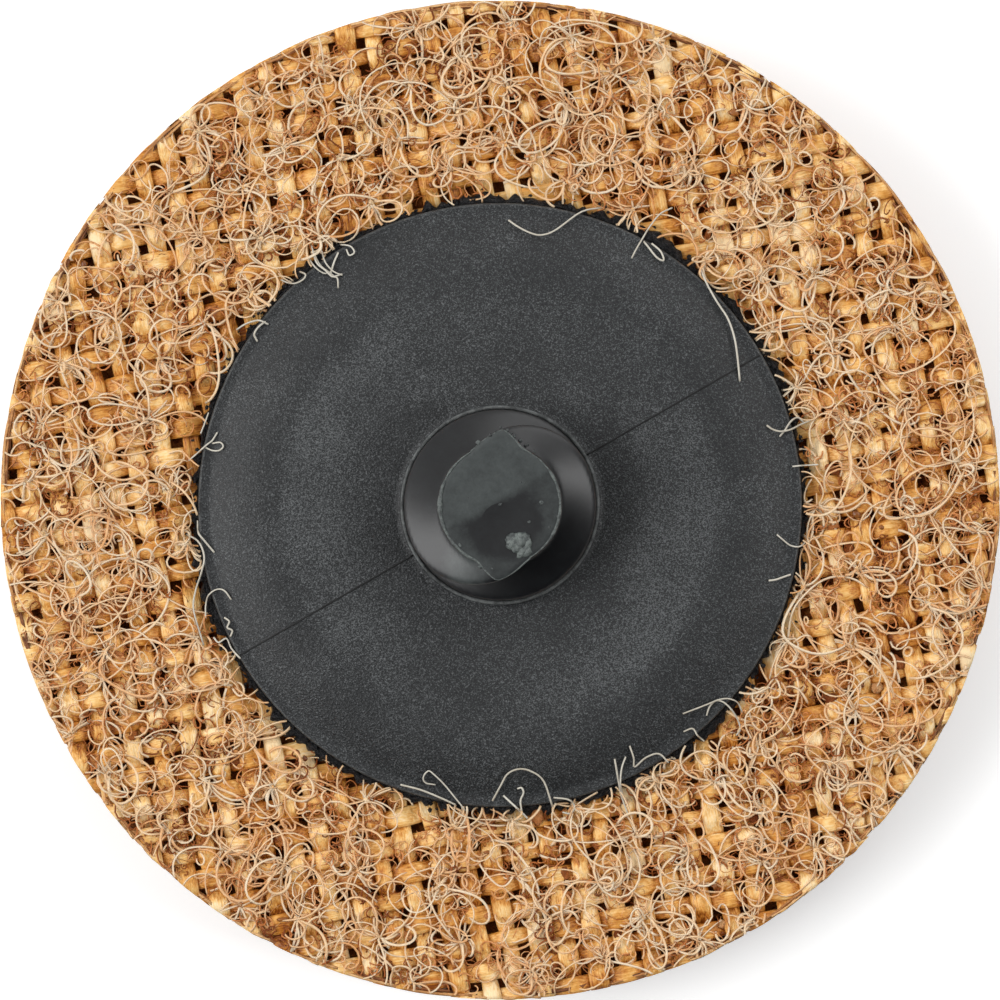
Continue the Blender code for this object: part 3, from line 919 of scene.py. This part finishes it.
def shoulder_height(share):
    """Height of the button's shoulder, by its share of the way from plateau to brim."""
    return PLATEAU_TOP + (BRIM_TOP - PLATEAU_TOP) * share ** 2


def button_height(radius):
    """Height of the button's upper side outside the collar, at a radius from its axis."""
    share = np.clip((radius - PLATEAU_RADIUS) / (BRIM_INNER - PLATEAU_RADIUS), 0, 1)
    return np.where(radius < FLANGE_RADIUS, shoulder_height(share), CLOTH_TOP)


def stray_fibres(rng):
    """The pale fibres that reach over the button's rim, each where the photograph has it."""
    bow = np.sin(math.pi * np.linspace(0, 1, STRAY_POINTS))
    paths = []
    for pixels in STRAY_FIBRES:
        plan = smooth_curve(from_photo(pixels), STRAY_POINTS)
        support = button_height(np.hypot(plan[:, 0], plan[:, 1] - BUTTON_Y))
        padded = np.pad(support, 3, mode="edge")
        support = np.max([padded[k:k + STRAY_POINTS] for k in range(7)], axis=0)
        arch = bow * rng.uniform(0.05, 0.22) * MM
        paths.append(np.column_stack([plan, support + 0.07 * MM + arch]))
    paths = np.array(paths)
    for _ in range(3):
        paths[:, 1:-1, 2] = (paths[:, :-2, 2] + 2 * paths[:, 1:-1, 2] + paths[:, 2:, 2]) / 4
    thick = FIBRE_RADIUS * rng.uniform(0.60, 0.85, len(paths))[:, None]
    return tubes("stray_fibres", paths, thick, rng.uniform(0.5, 1.0, len(paths)), sides=6)


# The web

def face_fibres(rng):
    """Coarse fibres that lie all ways on the abrasive face."""
    count = FACE_FIBRES
    reach = DISC_RADIUS * np.sqrt(rng.random(count)) * 0.985
    starts = around(reach, headings(rng, count), 0.0)[:, :2]
    plan, share = curling(
        rng, starts, headings(rng, count), rng.uniform(1.2, 6.0, count) * MM,
        either_way(rng, 0.8, 3.4, count), dense=40)
    level = rng.uniform(0.15, 0.44, (count, 1)) * MM
    height = level + ripple(rng, share, 0.05 * MM, slowest=4)
    paths, kept = trimmed(plan, height, 10, -1.0, DISC_RADIUS - 0.12 * MM)
    thick = FIBRE_RADIUS * rng.uniform(1.1, 1.8, count)[kept][:, None]
    # painted shade: fibres lying deeper in the pad are drawn darker
    depth = level[kept][:, 0] / (0.44 * MM)
    tone = np.clip(1.0 - 0.55 * depth + rng.normal(0, 0.16, len(depth)), 0, 1)
    return tubes("face_fibres", paths, np.minimum(thick, 0.09 * MM), tone)


def edge_fibres(rng):
    """Fibres of the web that show on its cut edge, mostly lying in its layers."""
    count = EDGE_FIBRES
    start = headings(rng, count)
    level = rng.uniform(0.06, 1.17, count) * (WEB_TOP - 0.15 * MM)
    run = rng.uniform(1.2, 6.0, count) * MM
    climb = rng.normal(0, 0.7, count) * MM
    share = np.linspace(0, 1, 9)[None, :]
    angle = start[:, None] + run[:, None] * share / DISC_RADIUS
    bow = rng.normal(0, 0.5, (count, 1)) * MM * np.sin(math.pi * share)
    height = level[:, None] + climb[:, None] * share + bow
    height = np.clip(height, 0.12 * MM, CLOTH_TOP - 0.10 * MM)
    deep = rng.uniform(0.0, 0.24, (count, 1)) * MM
    ripple = 0.05 * MM * np.sin(share * rng.uniform(3, 9, (count, 1)))
    paths = around(DISC_RADIUS - 0.08 * MM - deep + ripple, angle, height)
    thick = FIBRE_RADIUS * rng.uniform(0.9, 1.5, count)[:, None]
    # painted shade: fibres lying deeper inside the cut edge are drawn darker
    tone = np.clip(1.0 - deep[:, 0] / (0.3 * MM) + rng.normal(0, 0.2, count), 0, 1)
    return tubes("edge_fibres", paths, thick, tone)


def web_face(rng, shares, level):
    """Rows of one dimpled face of the pad, at shares of its radius."""
    rows = []
    for share in shares:
        dimple = 0.12 * MM * waves(circle(WEB_SEGMENTS), rng, range(9, 120, 7), 0.2)
        rows.append((share * (DISC_RADIUS - WEB_INSET), level + dimple * share))
    return rows


def web_side(rng):
    """Rows of the pad's cut edge, hollowed between its two faces."""
    rows = []
    for share in np.linspace(0.04, 0.96, 16):
        hollow = 0.02 * MM + 0.36 * MM * math.sin(math.pi * share) ** 0.7
        dent = hollow * waves(circle(WEB_SEGMENTS), rng, range(9, 130, 9), 0.2)
        level = (WEB_TOP - 0.2 * MM) * (1 - share) + 0.42 * MM * share
        rows.append((DISC_RADIUS - WEB_INSET - 0.7 * hollow + 0.5 * dent, level))
    return rows


def web_body(rng):
    """The pad behind its fibres, uneven all over, its edge cut square."""
    rows = web_face(rng, np.linspace(0.03, 1, 24), WEB_TOP - 0.18 * MM)
    rows += web_side(rng)
    rows += web_face(rng, np.linspace(1, 0.03, 24), FACE_LEVEL)
    return polar_object("web_body", rows, WEB_SEGMENTS)


# Button and bond

def ridge_reach(past_tip):
    """Outer radius of a ridge, by its angle past the place where it dips below the tip."""
    share = np.clip((RIDGE_START - past_tip) / RIDGE_GROWTH, 0.0, 1.0)
    return ROOT_RADIUS + (THREAD_RADIUS - ROOT_RADIUS) * np.sin(math.pi / 2 * share ** 1.1)


def stud_radius(angle, height):
    """The stud's surface: its root, and the ridges of a two-start right-hand thread."""
    at_tip = float(ridge_reach(0.0))
    tip_half = RIDGE_CREST / 2 + FLANK_SLOPE * (THREAD_RADIUS - at_tip)
    rise = THREAD_LEAD / TURN
    middle_turn = (height - STUD_TOP + tip_half) / rise
    nearest = np.round((angle - TIP_ANGLE - middle_turn) / math.pi)
    found = np.full_like(angle, ROOT_RADIUS)
    for step in (-1, 0, 1):
        past_tip = angle - TIP_ANGLE - math.pi * (nearest + step)
        away = np.abs(height - (STUD_TOP - tip_half + rise * past_tip))
        flank = THREAD_RADIUS - (away - RIDGE_CREST / 2) / FLANK_SLOPE
        ridge = soft_min(ridge_reach(past_tip), flank, 0.16 * MM)
        ridge = np.where(past_tip > RIDGE_START, 0.0, ridge)
        found = soft_max(found, ridge, 0.22 * MM)
    return found


def stud_rows(angle):
    """Rows of the stud, from the middle of its tip down to the collar's floor."""
    tip = stud_radius(angle, STUD_TOP)
    rows = []
    for share in TIP_SHARES:
        radius = share * (tip - TIP_EASE)
        away = np.hypot(
            radius * np.cos(angle) - SINK_CENTRE[0], radius * np.sin(angle) - SINK_CENTRE[1])
        rows.append((radius, STUD_TOP - TIP_SINK * (1 - smooth_step(away / SINK_RADIUS))))
    rows.append((tip - 0.3 * TIP_EASE, STUD_TOP - 0.3 * TIP_EASE))
    for height in np.linspace(STUD_TOP - TIP_EASE, PLATEAU_TOP + 0.05 * MM, STUD_ROWS):
        rows.append((stud_radius(angle, height), height))
    return rows


def collar_rows(angle):
    """Rows of the collar's floor and its thin raised lip."""
    lip_inner = COLLAR_RADIUS - LIP_WIDTH
    root = np.minimum(stud_radius(angle, PLATEAU_TOP), lip_inner - 0.04 * MM)
    floor_level = PLATEAU_TOP + 0.01 * MM
    rows = [(root * (1 - share) + lip_inner * share, floor_level) for share in (0.05, 0.5, 0.9)]
    return rows + [
        (lip_inner, floor_level),
        (COLLAR_RADIUS - 0.17 * MM, STUD_BASE - 0.03 * MM),
        (COLLAR_RADIUS - 0.13 * MM, STUD_BASE),
        (COLLAR_RADIUS - 0.05 * MM, STUD_BASE),
        (COLLAR_RADIUS - 0.01 * MM, STUD_BASE - 0.03 * MM),
        (COLLAR_RADIUS, PLATEAU_TOP + 0.02 * MM),
        (COLLAR_RADIUS + 0.03 * MM, PLATEAU_TOP - 0.01 * MM),
    ]


def flange_rows():
    """Rows of the plateau, the rounded shoulder, the brim and the underside."""
    rows = [(radius * MM, PLATEAU_TOP) for radius in np.linspace(5.3, 10.9, 12)]
    for share in np.linspace(0, 1, 18):
        rows.append((
            PLATEAU_RADIUS + (BRIM_INNER - PLATEAU_RADIUS) * share, shoulder_height(share)))
    rows.append((BRIM_INNER + 0.10 * MM, BRIM_TOP - 0.012 * MM))
    rows.append((FLANGE_RADIUS - 0.20 * MM, BRIM_TOP - 0.01 * MM))
    for turn in np.radians(np.linspace(90, 0, 5)):
        rows.append((
            FLANGE_RADIUS - BRIM_ROUNDING + BRIM_ROUNDING * math.cos(turn),
            BRIM_TOP - BRIM_ROUNDING + BRIM_ROUNDING * math.sin(turn)))
    rows.append((FLANGE_RADIUS, FLANGE_BOTTOM + 0.05 * MM))
    rows.append((FLANGE_RADIUS - 0.05 * MM, FLANGE_BOTTOM))
    rows.append((FLANGE_RADIUS * 0.5, FLANGE_BOTTOM))
    rows.append((FLANGE_RADIUS * 0.05, FLANGE_BOTTOM))
    return rows


def moulded_button():
    """The button as one closed surface, with its threaded stud."""
    angle = circle(BUTTON_SEGMENTS)
    rows = stud_rows(angle) + collar_rows(angle) + flange_rows()
    return polar_object("moulded_button", rows, BUTTON_SEGMENTS, BUTTON_AXIS)


def melted_crust(rng):
    """The ragged crust of plastic squeezed out round the flange and into the weave."""
    angle = circle(CRUST_SEGMENTS)
    lobes = waves(angle, rng, range(2, 14), 0.2)
    teeth = waves(angle, rng, range(20, 180, 7), 0.1)
    ragged = np.clip(0.36 + 0.40 * lobes + 0.45 * teeth, 0.0, 1.0)
    reach = FLANGE_RADIUS + (0.10 + 0.72 * ragged) * MM
    top = FLANGE_BOTTOM - 0.03 * MM
    rows = [(FLANGE_RADIUS - CRUST_TUCK, top - 0.02 * MM)]
    for share in np.linspace(0, 1, 9):
        lump = 0.16 * MM * waves(angle, rng, range(31, 330, 13), 0.0)
        fall = 0.26 * MM * share ** 2
        radius = FLANGE_RADIUS - 0.02 * MM + (reach - FLANGE_RADIUS) * share
        rows.append((radius, top + (0.10 * MM + lump) * smooth_step(share * 4) - fall))
    rows.append((reach, top - CRUST_DEPTH))
    rows.append((FLANGE_RADIUS - CRUST_TUCK, top - CRUST_DEPTH))
    return polar_object("melted_crust", rows, CRUST_SEGMENTS, BUTTON_AXIS)


def melt_crumbs(rng):
    """Knobs and spatter of melted plastic on the crust and just beyond it."""
    angle = headings(rng, CRUMBS)
    out = rng.gamma(1.8, 0.14, CRUMBS).clip(0.05, 0.9) * MM
    size = rng.uniform(0.04, 0.13, (CRUMBS, 3)) * MM
    level = FLANGE_BOTTOM + 0.05 * MM - 0.25 * out + rng.normal(0, 0.04, CRUMBS) * MM
    places = around(FLANGE_RADIUS + out, angle, level, BUTTON_AXIS)
    return lumps("melt_crumbs", places, size, angle, 0.22, rng, rng.random(CRUMBS))


def parting_lines():
    """The witness line that the split mould left across flange and shoulder: a thin raised tube
    that carries the step's painted shadow.
    """
    radius = np.linspace(COLLAR_RADIUS + 0.02 * MM, FLANGE_RADIUS - 0.12 * MM, 48)
    one = np.stack([
        radius * math.cos(PARTING_ANGLE), radius * math.sin(PARTING_ANGLE),
        button_height(radius)], -1)
    paths = np.stack([one, one * [-1, -1, 1]])
    paths[..., 1] += BUTTON_Y
    return tubes("parting_lines", paths, 0.048 * MM, 0.0, sides=6)


def tip_burr(rng):
    """The thin pale burr round the stud's flat tip, widened on the left and right as a painted
    highlight of its edge.
    """
    angle = np.linspace(0, TURN, 200)
    radius = stud_radius(angle, STUD_TOP) - 0.045 * MM
    path = around(radius, angle, STUD_TOP - 0.020 * MM, BUTTON_AXIS)
    pale_amount = 0.5 + 0.5 * waves(angle, rng, range(1, 24, 3), 0.4)
    # painted highlight: the burr widens on the left and right, where the side lamps catch the
    # tip's edge
    left_or_right = np.abs(np.cos(angle - math.radians(5)))
    thick = (0.022 + 0.135 * pale_amount * left_or_right) * MM
    return tubes("tip_burr", path[None], thick[None], 0.62, sides=6)


def gate_mark(rng):
    """The torn stub that the mould's gate left on the tip, with its crumbs and scuffs."""
    turn = headings(rng, GATE_LUMPS)
    reach = np.sqrt(rng.random(GATE_LUMPS)) * 0.38 * GATE_WIDTH
    reach[0] = 0.0
    stub = from_photo(GATE_PIXEL) + around(reach, turn, 0.0)[:, :2]
    plan = np.vstack([stub, from_photo(TIP_SCUFFS)])
    count = len(plan)
    big = np.arange(count) < len(stub)
    across = np.where(big, rng.uniform(0.20, 0.36, count), rng.uniform(0.05, 0.12, count)) * MM
    across[0] = 0.38 * GATE_WIDTH
    flat = np.where(big, rng.uniform(0.08, 0.13, count), 0.018) * MM
    sizes = np.column_stack([across, across * rng.uniform(0.6, 1.0, count), flat])
    places = np.column_stack([plan, np.full(count, STUD_TOP)])
    tone = np.where(big, rng.uniform(0.5, 0.9, count), rng.uniform(0.2, 0.6, count))
    return lumps(
        "gate_mark", places, sizes, rng.uniform(0, math.pi, count), 0.16, rng, tone)


# Stage

def floor_surface(layers):
    """The floor's shader, glowing a little for the camera and clear from below."""
    ray = layers.node("LightPath").outputs
    seen = layers.math(
        "MAXIMUM", ray["Is Camera Ray"],
        layers.math("MAXIMUM", ray["Is Glossy Ray"], ray["Is Transmission Ray"]))
    paper = layers.shader.outputs[0]
    glow = layers.node("Emission", {"Color": (1, 1, 1, 1), "Strength": 0.30}).outputs[0]
    glowing = layers.node("AddShader", {0: paper, 1: glow}).outputs[0]
    top = layers.node("MixShader", {0: seen, 1: paper, 2: glowing}).outputs[0]
    through = layers.math(
        "MAXIMUM", layers.node("NewGeometry").outputs["Backfacing"], ray["Is Diffuse Ray"])
    clear = layers.node("BsdfTransparent").outputs[0]
    return layers.node("MixShader", {0: through, 1: top, 2: clear}).outputs[0]


def floor():
    """A white floor that keeps the object's shadow.

    A view from below looks through it, and the surround lights the abrasive face past it.
    """
    sides = [(-1, -1), (1, -1), (1, 1), (-1, 1)]
    points = np.array([[x * FLOOR_HALF, y * FLOOR_HALF, 0] for x, y in sides])
    made = mesh_object("floor", points, [(0, 1, 2, 3)], smooth=False)
    layers = Layers("white_floor")
    paper = layers.noise(0.8, 2.0, 0.5)
    colour = layers.ramp(paper, [(0.3, (0.93, 0.93, 0.93)), (0.7, (0.95, 0.95, 0.95))])
    layers.finish(colour, 0.9, specular=0.1)
    layers.feed(
        layers.tree.nodes["Material Output"].inputs["Surface"], floor_surface(layers))
    made.data.materials.append(layers.material)
    made.location.z = -0.02 * MM


def softbox(name, azimuth, zenith, width, power):
    """A square lamp that faces the disc, its direction given in degrees."""
    data = bpy.data.lights.new(name, "AREA")
    data.shape = "SQUARE"
    data.size = width
    data.energy = power
    made = bpy.data.objects.new(name, data)
    bearing, down = math.radians(azimuth), math.radians(zenith)
    made.location = (
        LAMP_DISTANCE * math.sin(down) * math.cos(bearing),
        LAMP_DISTANCE * math.sin(down) * math.sin(bearing), LAMP_DISTANCE * math.cos(down))
    made.rotation_mode = "QUATERNION"
    made.rotation_quaternion = (-made.location).to_track_quat("-Z", "Y")
    bpy.context.scene.collection.objects.link(made)


def surround():
    """A pale world that fades out on one side."""
    world = bpy.data.worlds.new("surround")
    world.use_nodes = True
    tree = world.node_tree
    towards = tree.nodes.new("ShaderNodeVectorMath")
    towards.operation = "DOT_PRODUCT"
    towards.inputs[1].default_value = DARK_SIDE
    fade = tree.nodes.new("ShaderNodeMapRange")
    fade.interpolation_type = "SMOOTHSTEP"
    limits = {"From Min": -0.25, "From Max": 0.40, "To Min": 0.78, "To Max": 0.03}
    for name, value in limits.items():
        fade.inputs[name].default_value = value
    way = tree.nodes.new("ShaderNodeTexCoord").outputs["Generated"]
    tree.links.new(way, towards.inputs[0])
    tree.links.new(towards.outputs["Value"], fade.inputs["Value"])
    tree.links.new(fade.outputs["Result"], tree.nodes["Background"].inputs["Strength"])
    tree.nodes["Background"].inputs["Color"].default_value = (1, 1, 1, 1)
    bpy.context.scene.world = world


def camera():
    """A long lens straight above, with the disc filling the picture."""
    data = bpy.data.cameras.new("camera")
    data.lens = CAMERA_LENS
    data.sensor_width = SENSOR_WIDTH
    data.clip_start = 0.01
    made = bpy.data.objects.new("camera", data)
    made.location = (0.0, 0.0, CLOTH_TOP + FRAME_WIDTH * CAMERA_LENS / SENSOR_WIDTH)
    bpy.context.scene.collection.objects.link(made)
    bpy.context.scene.camera = made


random = np.random.default_rng(7)

UMBER, AMBER, GOLD = (0.22, 0.053, 0.004), (0.52, 0.190, 0.026), (0.75, 0.370, 0.088)
STRAW, CREAM = (0.90, 0.58, 0.225), (0.96, 0.75, 0.45)
warp_material = yarn_material("warp_yarn", WEAVE_ANGLE + math.pi / 2, [
    (0.0, UMBER), (0.18, AMBER), (0.38, GOLD), (0.60, STRAW), (0.85, CREAM)])
weft_material = yarn_material("weft_yarn", WEAVE_ANGLE, [
    (0.02, UMBER), (0.26, AMBER), (0.50, GOLD), (0.75, STRAW), (1.0, CREAM)])
pale_fibre = fibre_material("pale_fibre", [
    (0.0, (0.80, 0.39, 0.14)), (0.35, (0.95, 0.58, 0.30)), (0.7, (1.00, 0.74, 0.46)),
    (1.0, (1.00, 0.85, 0.64))], 0.46, wall=0.68, specular=0.15)
stray_fibre = fibre_material("stray_fibre", [
    (0.0, (0.34, 0.29, 0.21)), (0.5, (0.48, 0.44, 0.36)), (1.0, (0.62, 0.59, 0.51))], 0.38)
RUSTS = [
    (0.0, (0.21, 0.048, 0.009)), (0.4, (0.45, 0.145, 0.037)), (0.75, (0.68, 0.28, 0.095)),
    (1.0, (0.80, 0.46, 0.21))]
rust_fibre = fibre_material("rust_fibre", RUSTS, 0.45, specular=0.25)
mat_fibre = fibre_material("mat_fibre", RUSTS, 0.40, grit=0.12, specular=0.25)
web_fibre = fibre_material("web_fibre", [
    (0.0, (0.10, 0.028, 0.007)), (0.35, (0.32, 0.110, 0.030)), (0.7, (0.62, 0.29, 0.095)),
    (1.0, (0.84, 0.50, 0.22))], 0.6, grit=0.04)

warp = dress(woven_yarns("warp_yarns", True, random), warp_material, "cloth", "scrim_backing")
weft = dress(woven_yarns("weft_yarns", False, random), weft_material, "cloth", "scrim_backing")

knots = scattered(random, KNOTS, KNOT_SPACING, *PALE_STARTS)
for pale in (
        needled_strands(random, knots), knot_sprays(random, knots), loose_curls(random)):
    dress(pale, pale_fibre, "web")
dress(rust_curls(random), rust_fibre, "web")
dress(rust_mats(random), mat_fibre, "web")
dress(fine_fuzz(random), rust_fibre, "web")
dress(stray_fibres(random), stray_fibre, "web")
dress(resin_drops(random, knots), resin_material(), "web")

web = dress(web_body(random), web_material(), "web", "abrasive_web")
dress(face_fibres(random), web_fibre, "web")
dress(edge_fibres(random), web_fibre, "web")

moulded = button_material()
dress(moulded_button(), moulded, "button", "fastener_button")
dress(parting_lines(), parting_shadow_material(), "button")
torn = scuff_material()
dress(tip_burr(random), torn, "button")
dress(gate_mark(random), torn, "button")
melted = melt_material()
dress(melted_crust(random), melted, "melt", "weld_bead")
dress(melt_crumbs(random), melted, "melt")

floor()
surround()
for lamp in LAMPS:
    softbox(*lamp)
camera()
bpy.context.scene.view_settings.view_transform = "Standard"
